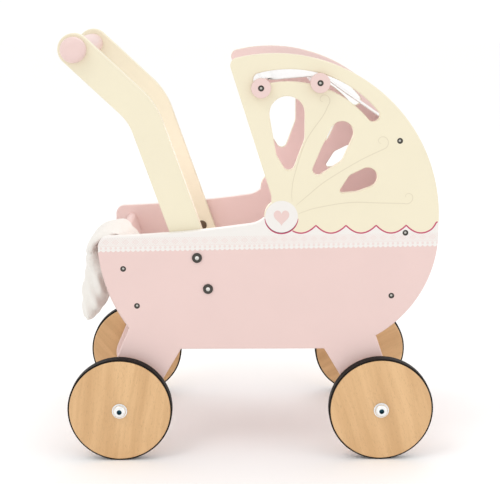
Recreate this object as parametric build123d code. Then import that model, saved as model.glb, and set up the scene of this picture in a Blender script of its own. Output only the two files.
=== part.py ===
from build123d import *
import os
from math import acos, atan2, cos, degrees, hypot, radians, sin

# Wooden doll's pram. +X is the front (hood end), +Z is up, -Y is the right-hand side.
# The origin is on the floor, under the middle of the pram. All sizes are in millimetres.

# ---- driving dimensions ------------------------------------------------------------------
HALF_LENGTH = 221.5

BOARD = 12.0                    # thickness of the side panels and the end boards
PANEL_OUT = 121.5               # outer face of a side panel
PANEL_IN = PANEL_OUT - BOARD
EDGE_ROUND = 1.6                # rounding of the painted board edges
FIT = 0.05                      # radial running clearance

WHEEL_R = 62.0
WHEEL_W = 18.0
TYRE_T = 2.0
TYRE_W = 14.0
WHEEL_IN = PANEL_OUT + 2.3      # inner face of a wheel
REAR_AXLE = (-154.0, WHEEL_R)
FRONT_AXLE = (156.0, WHEEL_R)
REAR_LEG_R = 27.0
FRONT_LEG_R = 22.0
BOLT_R = 4.0
BUSH_R = 6.0
WASHER_R = 9.0

BODY_BOTTOM = 131.8
BODY_REAR = -177.5
RIM_REAR_Z = 267.5              # top edge of the body at the rear corner
FRONT_CURVE_R = 142.4
FRONT_CURVE_Z = 271.0
HOOD_R = 192.0
HOOD_CENTRE = (HALF_LENGTH - HOOD_R, 288.0)
HEART = (37.3, 291.1)           # middle of the round boss at the hood's root
HEART_R = 20.0

SLOT_CENTRE = (45.0, 328.0)     # middle of the arc that the canopy bows slide round
SLOT_R = 127.0
SLOT_W = 14.3
SLOT_FROM = -15.3               # angles from straight up, towards the front
SLOT_TO = 50.5
PIN_R = 4.0
BOW_R = 6.0
BOW_TRACK_R = SLOT_R - SLOT_W / 2 + PIN_R + 0.15
MIDDLE_BOW_ANGLE = 16.7
FRONT_BOW = (13.1, 440.9)       # seat of the front bow, in the hook at the slot's end
HOOK_DEPTH = 3.0
KNOB_R = 11.3
KNOB_T = 9.0
RAIL = (173.8, 379.9)           # fixed rail at the back of the hood
RAIL_R = 7.5

REAR_BOARD = (-148.4, 229.5)    # a point on the board's middle line, and its lean
REAR_LEAN = -0.347
REAR_BOARD_TOP = 251.0
FRONT_BOARD = (182.0, 269.4)
FRONT_LEAN = 0.1975
FRONT_BOARD_TOP = 284.0
FLOOR_LOW = 158.0
FLOOR_TOP = 168.0
FLOOR_TONGUE = 4.0

ARM_T = 15.0
ARM_HALF_W = 18.8
ARM_FOOT = (-51.2, 205.2)
ARM_BEND = (-124.0, 411.3)
ARM_BEND_R = 75.0
GRIP = (-201.4, 483.6)          # middle line of the handle rod
GRIP_R = 12.5
TENON_R = 8.0
STUD_R = 4.0
HANDLE_KNOB_R = 14.9
HANDLE_KNOB_T = 15.5
ARM_BOLTS = ((-61.6, 242.6), (-48.9, 205.2))
ARM_BOLT_R = 3.0

SCREW_R = 1.9
SCREW_HEAD_R = 3.4
SCREW_HEAD_T = 2.2
SCREW_LENGTH = 34.0

MATTRESS_T = 16.0
CLOTH_GAP = 0.4
DUVET_T = 8.0
DUVET_HALF_W = 92.0
DUVET_FRONT = 36.0
CANOPY_T = 1.4
CANOPY_HALF_W = 106.5
CANOPY_TACKED = 20.0            # how far the cloth runs down the front board's outer face

ARM_IN = PANEL_IN - ARM_T
SIDES = (("right", -1), ("left", 1))


# ---- helpers -----------------------------------------------------------------------------
def slab(profile, y_low, y_high):
    """A plate with an X-Z profile, between two Y planes."""
    return extrude(Plane.XZ.offset(-y_high) * profile, y_high - y_low, dir=(0, -1, 0))


def rod(centre, radius, y_from, y_to):
    """A round rod along Y through an (x, z) point."""
    low, high = sorted((y_from, y_to))
    return slab(Pos(*centre) * Circle(radius), low, high)


def ring(centre, r_out, r_in, y_from, y_to):
    """A washer or tube along Y."""
    low, high = sorted((y_from, y_to))
    return slab(Pos(*centre) * (Circle(r_out) - Circle(r_in)), low, high)


def hex_socket(centre, across, y_from, y_to):
    """The room that a hexagon key takes up."""
    low, high = sorted((y_from, y_to))
    return slab(Pos(*centre) * RegularPolygon(across / 2, 6, major_radius=False), low, high)


def on_side(solid, side):
    """Solids are drawn on the left (+Y) side; the right-hand ones are their mirror image."""
    return solid if side > 0 else mirror(solid, about=Plane.XZ)


def both_sides(solids):
    """The solids of a group on the left, and their mirror images on the right."""
    return [on_side(solid, side) for _, side in SIDES for solid in solids]


def polar(centre, radius, angle):
    """A point at an angle from straight up, towards the front."""
    return (centre[0] + radius * sin(radians(angle)), centre[1] + radius * cos(radians(angle)))


def on_line(point, lean, z, across=0.0):
    """The point at height z on a leaning board, moved square to the board's middle line."""
    run = hypot(1.0, lean)
    return (point[0] + lean * (z - point[1]) + across * run, z)


def thick_line(edges, thickness):
    """A strip of even thickness along a line, with round ends."""
    return make_face(offset(Wire(edges), thickness / 2, side=Side.BOTH).edges())


def blob(*circles):
    """The smooth outline round several (x, z, radius) circles."""
    return make_hull([edge for x, z, r in circles for edge in (Pos(x, z) * Circle(r)).edges()])


def rounded(solid, radius, y_planes):
    """Round the edges that lie in the given Y planes."""
    edges = [e for e in solid.edges() if any(abs(e.bounding_box().min.Y - y) < 1e-3
             and abs(e.bounding_box().max.Y - y) < 1e-3 for y in y_planes)]
    return fillet(edges, radius)


def write(name, *solids):
    """One STEP file for one named sub-part."""
    export_step(Compound(label=name, children=list(solids)) if len(solids) > 1 else solids[0],
                os.path.join("parts", name + ".step"))


# ---- side panels -------------------------------------------------------------------------
MIDDLE_BOW = polar(SLOT_CENTRE, BOW_TRACK_R, MIDDLE_BOW_ANGLE)
REAR_SCREWS = [on_line(REAR_BOARD, REAR_LEAN, z) for z in (184.8, 229.5)]
FRONT_SCREWS = [on_line(FRONT_BOARD, FRONT_LEAN, z) for z in (196.5, 272.0)]
PANEL_SCREWS = REAR_SCREWS + FRONT_SCREWS + [RAIL]


def body_outline():
    """Body and hood in one board: the outline, without its legs."""
    rim_root = (34.4, 287.4)
    hood_tip = polar(HOOD_CENTRE, HOOD_R, -16.3)
    front_centre = (HALF_LENGTH - FRONT_CURVE_R, FRONT_CURVE_Z)
    front_foot = polar(front_centre, FRONT_CURVE_R, 149.8)
    notch = (-142.8, 157.0)
    rim = ThreePointArc((BODY_REAR, RIM_REAR_Z), (-83.0, 272.6), rim_root)
    front_edge = Line(rim_root, hood_tip)
    hood = ThreePointArc(hood_tip, polar(HOOD_CENTRE, HOOD_R, 40), (HALF_LENGTH, HOOD_CENTRE[1]))
    nose = Line((HALF_LENGTH, HOOD_CENTRE[1]), (HALF_LENGTH, FRONT_CURVE_Z))
    front = ThreePointArc((HALF_LENGTH, FRONT_CURVE_Z), polar(front_centre, FRONT_CURVE_R, 120),
                          front_foot)
    belly = Polyline(front_foot, (88.8, BODY_BOTTOM), (-81.5, BODY_BOTTOM), notch)
    rear = ThreePointArc(notch, (-165.5, 198.0), (BODY_REAR, 248.0))
    corner = Line((BODY_REAR, 248.0), (BODY_REAR, RIM_REAR_Z))
    face = make_face([rim, front_edge, hood, nose, front, *belly.edges(), rear, corner])
    corners = face.vertices()
    face = fillet(corners.sort_by_distance((*rim_root, 0))[0], 28)
    face = fillet(face.vertices().sort_by_distance((*hood_tip, 0))[0], 9)
    return fillet(face.vertices().sort_by_distance((BODY_REAR, RIM_REAR_Z, 0))[0], 12)


def leg(axle, radius, high, low):
    """A leg that tapers from two points on the body down to the round end at its axle."""
    foot = Pos(*axle) * Circle(radius)
    root = Polygon(high, low, ((high[0] + low[0]) / 2, high[1] + 12.0), align=None)
    return make_hull([*foot.edges(), *root.edges()])


def petals():
    """The three cut-outs that fan out from the heart."""
    tall = blob((45.5, 352.5, 6.8), (43.9, 367.5, 13.2), (46.5, 385.0, 17.2), (43.3, 411.0, 20.4))
    middle = blob((79.8, 346.5, 6.6), (96.0, 366.0, 14.0), (106.5, 389.0, 13.6))
    low = blob((108.5, 322.0, 3.2), (123.5, 331.2, 11.0), (137.0, 337.0, 11.7))
    return tall + middle + low


def slot():
    """The arc that the bows slide in, with the hook that holds the front bow."""
    start = polar(SLOT_CENTRE, SLOT_R, SLOT_FROM)
    arc = ThreePointArc(start, polar(SLOT_CENTRE, SLOT_R, (SLOT_FROM + SLOT_TO) / 2),
                        polar(SLOT_CENTRE, SLOT_R, SLOT_TO))
    seat = (FRONT_BOW[0], FRONT_BOW[1] + HOOK_DEPTH)
    return thick_line([arc], SLOT_W) + thick_line([Line(start, seat)], SLOT_W)


def side_panel():
    """One left-hand board: body, legs and hood side."""
    face = body_outline() + Pos(*HEART) * Circle(HEART_R)
    face += leg(REAR_AXLE, REAR_LEG_R, (-142.8, 157.0), (-81.5, BODY_BOTTOM))
    face += leg(FRONT_AXLE, FRONT_LEG_R, (150.4, 147.6), (88.8, BODY_BOTTOM))
    face -= petals() + slot()
    panel = rounded(slab(face, PANEL_IN, PANEL_OUT), EDGE_ROUND, (PANEL_IN, PANEL_OUT))
    for axle in (REAR_AXLE, FRONT_AXLE):
        panel -= rod(axle, BOLT_R + FIT, PANEL_IN - 1, PANEL_OUT + 1)
        panel -= rod(axle, BOLT_R + 1.5 + FIT, PANEL_IN - 1, PANEL_OUT - 2)
    for bolt in ARM_BOLTS:
        panel -= rod(bolt, ARM_BOLT_R + FIT, PANEL_IN - 1, PANEL_OUT + 1)
    for screw in PANEL_SCREWS:
        panel -= rod(screw, SCREW_R + FIT, PANEL_IN - 1, PANEL_OUT + 1)
        panel -= rod(screw, SCREW_HEAD_R + FIT, PANEL_OUT - SCREW_HEAD_T, PANEL_OUT + 1)
    return panel - floor_board()


# ---- boards of the body ------------------------------------------------------------------
def floor_board():
    """The bottom of the crib; its long edges sit in grooves in the side panels."""
    half = BOARD / 2
    corners = [on_line(REAR_BOARD, REAR_LEAN, FLOOR_LOW, half),
               on_line(REAR_BOARD, REAR_LEAN, FLOOR_TOP, half),
               on_line(FRONT_BOARD, FRONT_LEAN, FLOOR_TOP, -half),
               on_line(FRONT_BOARD, FRONT_LEAN, FLOOR_LOW, -half)]
    width = PANEL_IN + FLOOR_TONGUE
    return slab(Polygon(*corners, align=None), -width, width)


def end_board(point, lean, top, screws):
    """A leaning end board with a round top edge."""
    strip = thick_line([Line(on_line(point, lean, FLOOR_LOW), on_line(point, lean, top))], BOARD)
    below = Pos(point[0], FLOOR_LOW - 50) * Rectangle(200, 100)
    board = slab(strip - below, -PANEL_IN, PANEL_IN)
    for screw in screws:
        for _, side in SIDES:
            board -= rod(screw, SCREW_R + FIT, side * (PANEL_IN + 1),
                         side * (PANEL_OUT - SCREW_LENGTH))
    return board


def hood_rail():
    """The round rail across the back of the hood."""
    rail = rod(RAIL, RAIL_R, -PANEL_IN, PANEL_IN)
    for _, side in SIDES:
        rail -= rod(RAIL, SCREW_R + FIT, side * (PANEL_IN + 1), side * (PANEL_OUT - SCREW_LENGTH))
    return rail


def panel_screws():
    """Sunk screws through the side panels into the boards and the rail."""
    solids = []
    for screw in PANEL_SCREWS:
        one = rod(screw, SCREW_R, PANEL_OUT - SCREW_LENGTH, PANEL_OUT - 1)
        one += rod(screw, SCREW_HEAD_R, PANEL_OUT - SCREW_HEAD_T, PANEL_OUT)
        solids.append(one - hex_socket(screw, 3.0, PANEL_OUT - 1.4, PANEL_OUT + 1))
    return both_sides(solids)


# ---- handle ------------------------------------------------------------------------------
def handle_arm():
    """A bent arm, bolted inside the side panel."""
    path = FilletPolyline(ARM_FOOT, ARM_BEND, GRIP, radius=ARM_BEND_R)
    arm = slab(thick_line(path.edges(), 2 * ARM_HALF_W), ARM_IN, PANEL_IN)
    arm = rounded(arm, EDGE_ROUND, (ARM_IN, PANEL_IN))
    arm -= rod(GRIP, TENON_R + FIT, ARM_IN - 1, PANEL_IN + 1)
    for bolt in ARM_BOLTS:
        arm -= rod(bolt, ARM_BOLT_R + 1.2 + FIT, ARM_IN - 1, PANEL_IN + 1)
    return arm


def handle_rod():
    """The grip, with a tenon through each arm and a socket for each end knob."""
    grip = rod(GRIP, GRIP_R, -ARM_IN, ARM_IN) + rod(GRIP, TENON_R, -PANEL_IN, PANEL_IN)
    for _, side in SIDES:
        grip -= rod(GRIP, STUD_R + FIT, side * (PANEL_IN - 24), side * (PANEL_IN + 1))
    return grip


def handle_knob():
    """A domed end knob with its stud."""
    knob = rod(GRIP, HANDLE_KNOB_R, PANEL_IN, PANEL_IN + HANDLE_KNOB_T)
    outer = PANEL_IN + HANDLE_KNOB_T
    knob = rounded(knob, HANDLE_KNOB_R * 0.62, (outer,))
    return knob + rod(GRIP, STUD_R, PANEL_IN - 22, PANEL_IN + 1)


def arm_bolts():
    """Flat-headed bolts through the panel and the arm."""
    head_t = 1.8
    solids = []
    for bolt in ARM_BOLTS:
        one = rod(bolt, ARM_BOLT_R, ARM_IN + 1, PANEL_OUT + 0.5)
        one += rounded(rod(bolt, 5.9, PANEL_OUT, PANEL_OUT + head_t), 0.8, (PANEL_OUT + head_t,))
        solids.append(one - hex_socket(bolt, 4.0, PANEL_OUT - 1, PANEL_OUT + 3))
    return both_sides(solids)


def arm_nuts():
    """Sleeve nuts, from inside the arm."""
    solids = []
    for bolt in ARM_BOLTS:
        one = ring(bolt, ARM_BOLT_R + 1.2, ARM_BOLT_R + FIT, ARM_IN, PANEL_IN - 1.5)
        one += rounded(rod(bolt, 6.5, ARM_IN - 1.8, ARM_IN), 0.8, (ARM_IN - 1.8,))
        solids.append(one)
    return both_sides(solids)


# ---- canopy ------------------------------------------------------------------------------
def bow(centre):
    """A bow: a round cross rod with a pin at each end, which runs in the panel's slot."""
    solid = rod(centre, BOW_R, -(PANEL_IN - 0.4), PANEL_IN - 0.4)
    solid += rod(centre, PIN_R, -(PANEL_OUT + 0.4), PANEL_OUT + 0.4)
    for _, side in SIDES:
        solid -= rod(centre, SCREW_R + FIT, side * (PANEL_OUT - 20), side * (PANEL_OUT + 1))
    return solid


def bow_knobs(centre):
    """The round knobs outside the panels, each with a counterbored hole."""
    inner = PANEL_OUT + 0.4
    knob = ring(centre, KNOB_R, SCREW_R + FIT, inner, inner + KNOB_T)
    knob = rounded(knob - rod(centre, SCREW_HEAD_R + FIT, inner + KNOB_T - 3.0, inner + KNOB_T + 1),
                   0.9, (inner + KNOB_T,))
    return both_sides([knob])


def bow_screws(centre):
    """A screw through each knob into the bow's end."""
    face = PANEL_OUT + 0.4 + KNOB_T - 0.8
    screw = rod(centre, SCREW_R, face - 26, face - 1)
    screw += rod(centre, SCREW_HEAD_R, face - SCREW_HEAD_T, face)
    return both_sides([screw - hex_socket(centre, 3.0, face - 1.4, face + 1)])


def canopy_cloth():
    """The cloth: over the bows' track, over the rail and down to the front board."""
    inner_r = BOW_TRACK_R + BOW_R + 0.6
    mid_r = inner_r + CANOPY_T / 2
    rail_r = RAIL_R + 0.1 + CANOPY_T / 2
    dx, dz = RAIL[0] - SLOT_CENTRE[0], RAIL[1] - SLOT_CENTRE[1]
    towards = degrees(atan2(dx, dz))
    off = towards - degrees(acos((mid_r - rail_r) / hypot(dx, dz)))
    square = BOARD / 2 + 0.2 + CANOPY_T / 2
    lip = on_line(FRONT_BOARD, FRONT_LEAN, FRONT_BOARD_TOP, square)
    foot = on_line(FRONT_BOARD, FRONT_LEAN, FRONT_BOARD_TOP - CANOPY_TACKED, square)
    lx, lz = lip[0] - RAIL[0], lip[1] - RAIL[1]
    leave = degrees(atan2(lx, lz)) - degrees(acos(rail_r / hypot(lx, lz)))
    leave_point = polar(RAIL, rail_r, leave)
    arc = ThreePointArc(polar(SLOT_CENTRE, mid_r, -8.0), polar(SLOT_CENTRE, mid_r, 12.0),
                        polar(SLOT_CENTRE, mid_r, off))
    span = Line(polar(SLOT_CENTRE, mid_r, off), polar(RAIL, rail_r, off))
    turn = ThreePointArc(polar(RAIL, rail_r, off), polar(RAIL, rail_r, (off + leave) / 2),
                         leave_point)
    back = Polyline(leave_point, lip, foot)
    path = [arc, span, turn, *back.edges()]
    return slab(thick_line(path, CANOPY_T), -CANOPY_HALF_W, CANOPY_HALF_W)


def canopy_hem():
    """The sleeve of cloth round the front bow."""
    return ring(FRONT_BOW, BOW_R + 1.3, BOW_R + 0.05, -CANOPY_HALF_W, CANOPY_HALF_W)


# ---- wheels ------------------------------------------------------------------------------
def wheel(axle):
    """A turned wooden disc with softened edges."""
    disc = rod(axle, WHEEL_R - TYRE_T, WHEEL_IN, WHEEL_IN + WHEEL_W)
    disc = rounded(disc, 1.5, (WHEEL_IN, WHEEL_IN + WHEEL_W))
    return disc - rod(axle, BUSH_R, WHEEL_IN - 1, WHEEL_IN + WHEEL_W + 1)


def tyre(axle):
    """A rubber band round the wheel."""
    low = WHEEL_IN + (WHEEL_W - TYRE_W) / 2
    band = ring(axle, WHEEL_R, WHEEL_R - TYRE_T, low, low + TYRE_W)
    outer = [e for e in band.edges() if e.bounding_box().size.X > 2 * WHEEL_R - 1]
    return fillet(outer, 0.9)


def wheel_bolt(axle):
    """The bolt that a wheel turns on, with its pan head and hexagon socket."""
    seat = WHEEL_IN + WHEEL_W + 1.5
    head = rounded(rod(axle, 7.6, seat, seat + 4.6), 3.2, (seat + 4.6,))
    shank = rod(axle, BOLT_R, PANEL_IN + 1, seat + 1)
    return shank + head - hex_socket(axle, 5.0, seat + 1.6, seat + 6)


def wheel_washers(axle):
    """One washer between the leg and the wheel, and one under the bolt's head."""
    outer = WHEEL_IN + WHEEL_W + 0.2
    return [ring(axle, WASHER_R, BOLT_R + FIT, PANEL_OUT, WHEEL_IN - 0.2),
            ring(axle, WASHER_R, BOLT_R + FIT, outer, outer + 1.3)]


def leg_nut(axle):
    """The flanged sleeve nut in the leg."""
    sleeve = ring(axle, BOLT_R + 1.5, BOLT_R + FIT, PANEL_IN - 0.5, PANEL_OUT - 3)
    return sleeve + rounded(rod(axle, 9.0, PANEL_IN - 1.8, PANEL_IN), 0.8, (PANEL_IN - 1.8,))


# ---- bedding -----------------------------------------------------------------------------
def mattress():
    """A flat pad on the floor board, under the handle arms."""
    low = FLOOR_TOP + CLOTH_GAP
    rear = on_line(REAR_BOARD, REAR_LEAN, low, BOARD / 2)[0] + 3.0
    front = on_line(FRONT_BOARD, FRONT_LEAN, low, -BOARD / 2)[0] - 3.0
    pad = Pos((rear + front) / 2, 0, low + MATTRESS_T / 2) * Box(front - rear, 210.0, MATTRESS_T)
    return fillet(pad.edges(), 5.0)


def pillow():
    """A small pillow under the hood."""
    low = FLOOR_TOP + 2 * CLOTH_GAP + MATTRESS_T
    pad = Pos(112.0, 0, low + 13.0) * Box(70.0, 140.0, 26.0)
    return fillet(pad.edges(), 11.0)


def duvet():
    """A quilt on the mattress, up and over the rear board, with its end hanging outside."""
    half = DUVET_T / 2
    lie = FLOOR_TOP + 2 * CLOTH_GAP + MATTRESS_T + half
    gap = BOARD / 2 + CLOTH_GAP + half
    top = on_line(REAR_BOARD, REAR_LEAN, REAR_BOARD_TOP)
    up = degrees(atan2(REAR_LEAN, 1.0))
    inside = on_line(REAR_BOARD, REAR_LEAN, lie, gap)
    over_in, over, over_out = (polar(top, gap, up + turn) for turn in (90, 20, -50))
    path = FilletPolyline((DUVET_FRONT, lie), inside, over_in, radius=14.0)
    arc = ThreePointArc(over_in, over, over_out)
    shoulder = (-187.0, 251.0)
    tail = Line(over_out, shoulder)
    flap = blob((*shoulder, 8.0), (-188.0, 206.0, 19.0), (-194.0, 174.0, 16.0), (-196.0, 167.0, 12.5))
    profile = thick_line([*path.edges(), arc, tail], DUVET_T) + flap
    return slab(profile, -DUVET_HALF_W, DUVET_HALF_W)


# ---- writing the parts -------------------------------------------------------------------
def write_all():
    """Write every sub-part, and print the measures that the joints use."""
    os.makedirs("parts", exist_ok=True)
    panel, arm, knob = side_panel(), handle_arm(), handle_knob()
    for name, side in SIDES:
        write("side_panel_" + name, on_side(panel, side))
        write("handle_arm_" + name, on_side(arm, side))
        write("handle_knob_" + name, on_side(knob, side))
        for place, axle in (("rear", REAR_AXLE), ("front", FRONT_AXLE)):
            end = place + "_" + name
            write("wheel_" + end, on_side(wheel(axle), side))
            write("tyre_" + end, on_side(tyre(axle), side))
            write("wheel_bush_" + end,
                  on_side(ring(axle, BUSH_R, BOLT_R + FIT, WHEEL_IN, WHEEL_IN + WHEEL_W), side))
    axles = (REAR_AXLE, FRONT_AXLE)
    write("wheel_bolts", *both_sides([wheel_bolt(axle) for axle in axles]))
    write("wheel_washers", *both_sides([one for axle in axles for one in wheel_washers(axle)]))
    write("leg_nuts", *both_sides([leg_nut(axle) for axle in axles]))
    write("floor_board", floor_board())
    write("rear_board", end_board(REAR_BOARD, REAR_LEAN, REAR_BOARD_TOP, REAR_SCREWS))
    write("front_board", end_board(FRONT_BOARD, FRONT_LEAN, FRONT_BOARD_TOP, FRONT_SCREWS))
    write("hood_rail", hood_rail())
    write("panel_screws", *panel_screws())
    write("handle_rod", handle_rod())
    write("arm_bolts", *arm_bolts())
    write("arm_nuts", *arm_nuts())
    for name, centre in (("front", FRONT_BOW), ("middle", MIDDLE_BOW)):
        write("canopy_bow_" + name, bow(centre))
        write("bow_knobs_" + name, *bow_knobs(centre))
        write("bow_screws_" + name, *bow_screws(centre))
    write("canopy_cloth", canopy_cloth())
    write("canopy_hem", canopy_hem())
    write("mattress", mattress())
    write("pillow", pillow())
    write("duvet", duvet())


write_all()
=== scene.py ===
"""A doll's pram: paint, print, wood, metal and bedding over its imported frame."""
import math

import bmesh
import bpy
from bpy.props import FloatProperty, FloatVectorProperty, IntProperty, PointerProperty
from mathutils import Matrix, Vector, noise


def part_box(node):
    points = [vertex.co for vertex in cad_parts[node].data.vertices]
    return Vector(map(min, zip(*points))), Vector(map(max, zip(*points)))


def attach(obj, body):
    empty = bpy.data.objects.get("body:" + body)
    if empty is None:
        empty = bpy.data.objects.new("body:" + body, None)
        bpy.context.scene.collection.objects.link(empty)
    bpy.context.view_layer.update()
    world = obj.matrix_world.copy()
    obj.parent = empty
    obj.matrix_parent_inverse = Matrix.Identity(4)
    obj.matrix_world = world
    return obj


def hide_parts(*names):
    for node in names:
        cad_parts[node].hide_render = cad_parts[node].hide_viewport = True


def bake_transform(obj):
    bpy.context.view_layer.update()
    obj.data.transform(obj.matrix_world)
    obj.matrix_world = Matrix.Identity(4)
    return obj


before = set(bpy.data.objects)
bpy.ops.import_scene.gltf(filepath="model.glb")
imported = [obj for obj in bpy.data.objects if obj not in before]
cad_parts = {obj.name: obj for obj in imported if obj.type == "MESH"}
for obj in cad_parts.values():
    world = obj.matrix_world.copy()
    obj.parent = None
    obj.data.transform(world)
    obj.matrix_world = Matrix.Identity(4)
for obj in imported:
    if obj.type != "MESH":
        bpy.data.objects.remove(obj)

bl_info = {
    "name": "Doll's Pram",
    "version": (1, 0, 0),
    "blender": (4, 5, 0),
    "location": "3D View > Sidebar > Pram",
    "description": "Paints, prints and dresses a wooden doll's pram",
    "category": "Object",
}

ROOT = "pram_body"
SIDES = (("right", -1), ("left", 1))
ENDS = [place + "_" + side for place in ("rear", "front") for side, _ in SIDES]
MM = 0.001


# ---- what the frame says -----------------------------------------------------------------
def middle(node):
    """The middle of a CAD node's box."""
    low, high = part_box(node)
    return (low + high) / 2


def pieces_of(node):
    """The middle of each separate solid in a CAD node."""
    mesh = bmesh.new()
    mesh.from_mesh(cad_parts[node].data)
    bmesh.ops.remove_doubles(mesh, verts=mesh.verts, dist=1e-6)
    left, found = set(mesh.verts), []
    while left:
        stack, group = [left.pop()], []
        while stack:
            vert = stack.pop()
            group.append(vert.co.copy())
            near = [edge.other_vert(vert) for edge in vert.link_edges]
            stack += [other for other in near if other in left]
            left -= set(near)
        low = Vector([min(point[axis] for point in group) for axis in range(3)])
        high = Vector([max(point[axis] for point in group) for axis in range(3)])
        found.append((low + high) / 2)
    mesh.free()
    return found


PANEL_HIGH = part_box("side_panel_left")[1]
FACE = PANEL_HIGH.y                       # the painted outer face of a side panel
FRONT_BOW = middle("canopy_bow_front")
MIDDLE_BOW = middle("canopy_bow_middle")
RAIL = middle("hood_rail")
FRONT_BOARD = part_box("front_board")
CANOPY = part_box("canopy_cloth")
HEART = Vector((37.3, 291.1)) * MM        # middle of the round boss, as (x, z)
HEART_R = 20 * MM


# ---- settings ----------------------------------------------------------------------------
def colour(name, description, default):
    """A colour property; the values are linear."""
    return FloatVectorProperty(name=name, description=description, subtype="COLOR", size=3,
                               min=0.0, max=1.0, default=default)


def length(name, description, default):
    """A length property, in metres."""
    return FloatProperty(name=name, description=description, default=default, unit="LENGTH")


class PaintSettings(bpy.types.PropertyGroup):
    pink: colour("Pink", "Paint on the body and inside the hood", (0.760, 0.572, 0.540))
    cream: colour("Cream", "Paint on the hood and the handle arms", (0.800, 0.738, 0.560))
    white: colour("Lace White", "Printed lace along the body's rim", (0.800, 0.775, 0.745))
    crimson: colour("Crimson", "Printed line under the scallops", (0.500, 0.050, 0.130))
    vein: colour("Vein", "Fine printed curls on the hood", (0.700, 0.635, 0.480))
    scallop_top: length("Scallop Height", "Height of the points between the scallops", 281 * MM)
    scallop_depth: length("Scallop Depth", "How far a scallop hangs down", 9.2 * MM)
    scallop_tail: length("Scallop Tail", "Where the last scallop starts to sweep up", 212 * MM)
    scallop_pitch: length("Scallop Pitch", "Distance from point to point", 35.2 * MM)
    scallop_start: length("Scallop Start", "Where the first whole scallop starts", 42.4 * MM)
    lace_low: length("Lace Edge", "Height of the lace's lower edge at the rear", 251.5 * MM)
    lace_rise: FloatProperty(name="Lace Rise", description="Slope of the lace's lower edge",
                             default=0.0161)
    lace_pitch: length("Lace Pitch", "Distance between the small lace points", 5.8 * MM)


class WoodSettings(bpy.types.PropertyGroup):
    pale: colour("Pale Grain", "Spring wood", (0.760, 0.490, 0.245))
    dark: colour("Dark Grain", "Summer wood", (0.560, 0.325, 0.140))
    rubber: colour("Rubber", "The band round each wheel", (0.006, 0.004, 0.003))


class ClothSettings(bpy.types.PropertyGroup):
    canopy: colour("Canopy", "Canopy cotton", (0.840, 0.835, 0.830))
    quilt: colour("Quilt", "Duvet and pillow cotton", (0.790, 0.765, 0.720))
    pitch: length("Thread Pitch", "Distance between threads of the weave", 0.45 * MM)
    steps: IntProperty(name="Simulation Steps", description="Frames of the cloth simulation",
                       default=18, min=1, max=60)


class StageSettings(bpy.types.PropertyGroup):
    floor: colour("Floor", "Studio floor", (0.975, 0.972, 0.970))
    distance: length("Camera Distance", "From the pram's middle plane", 1.5752)
    height: length("Camera Height", "Above the floor", 0.544)
    lens: FloatProperty(name="Lens", description="Focal length in millimetres", default=91.1)
    pitch: FloatProperty(name="Camera Pitch", description="How far the camera looks down",
                         default=math.radians(11.0), subtype="ANGLE")
    turn: FloatProperty(name="Camera Turn", description="How far the camera looks to its right",
                        default=math.radians(0.629), subtype="ANGLE")


# ---- shader expressions ------------------------------------------------------------------
class Socket:
    """One output of a node, so that sums can be written as sums."""

    def __init__(self, finish, link):
        self.finish = finish
        self.link = link

    def maths(self, operation, *values):
        return self.finish.node("ShaderNodeMath", {"operation": operation}, values)

    def __add__(self, other):
        return self.maths("ADD", self, other)

    def __radd__(self, other):
        return self.maths("ADD", other, self)

    def __sub__(self, other):
        return self.maths("SUBTRACT", self, other)

    def __rsub__(self, other):
        return self.maths("SUBTRACT", other, self)

    def __mul__(self, other):
        return self.maths("MULTIPLY", self, other)

    def __rmul__(self, other):
        return self.maths("MULTIPLY", other, self)

    def __truediv__(self, other):
        return self.maths("DIVIDE", self, other)

    def __rtruediv__(self, other):
        return self.maths("DIVIDE", other, self)

    def __pow__(self, other):
        return self.maths("POWER", self, other)

    def __abs__(self):
        return self.maths("ABSOLUTE", self)

    def __neg__(self):
        return self.maths("MULTIPLY", self, -1)

    def least(self, other):
        return self.maths("MINIMUM", self, other)

    def most(self, other):
        return self.maths("MAXIMUM", self, other)

    def sine(self):
        return self.maths("SINE", self)

    def part(self):
        """What is left over a whole number."""
        return self.maths("FRACT", self)

    def whole(self):
        return self.maths("FLOOR", self)

    def above(self, value, soft):
        """0 below the value and 1 above it, turning over a soft width."""
        settings = {"interpolation_type": "SMOOTHSTEP"}
        inputs = {"Value": self, "From Min": value - soft, "From Max": value + soft}
        return self.finish.node("ShaderNodeMapRange", settings, inputs)


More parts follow.
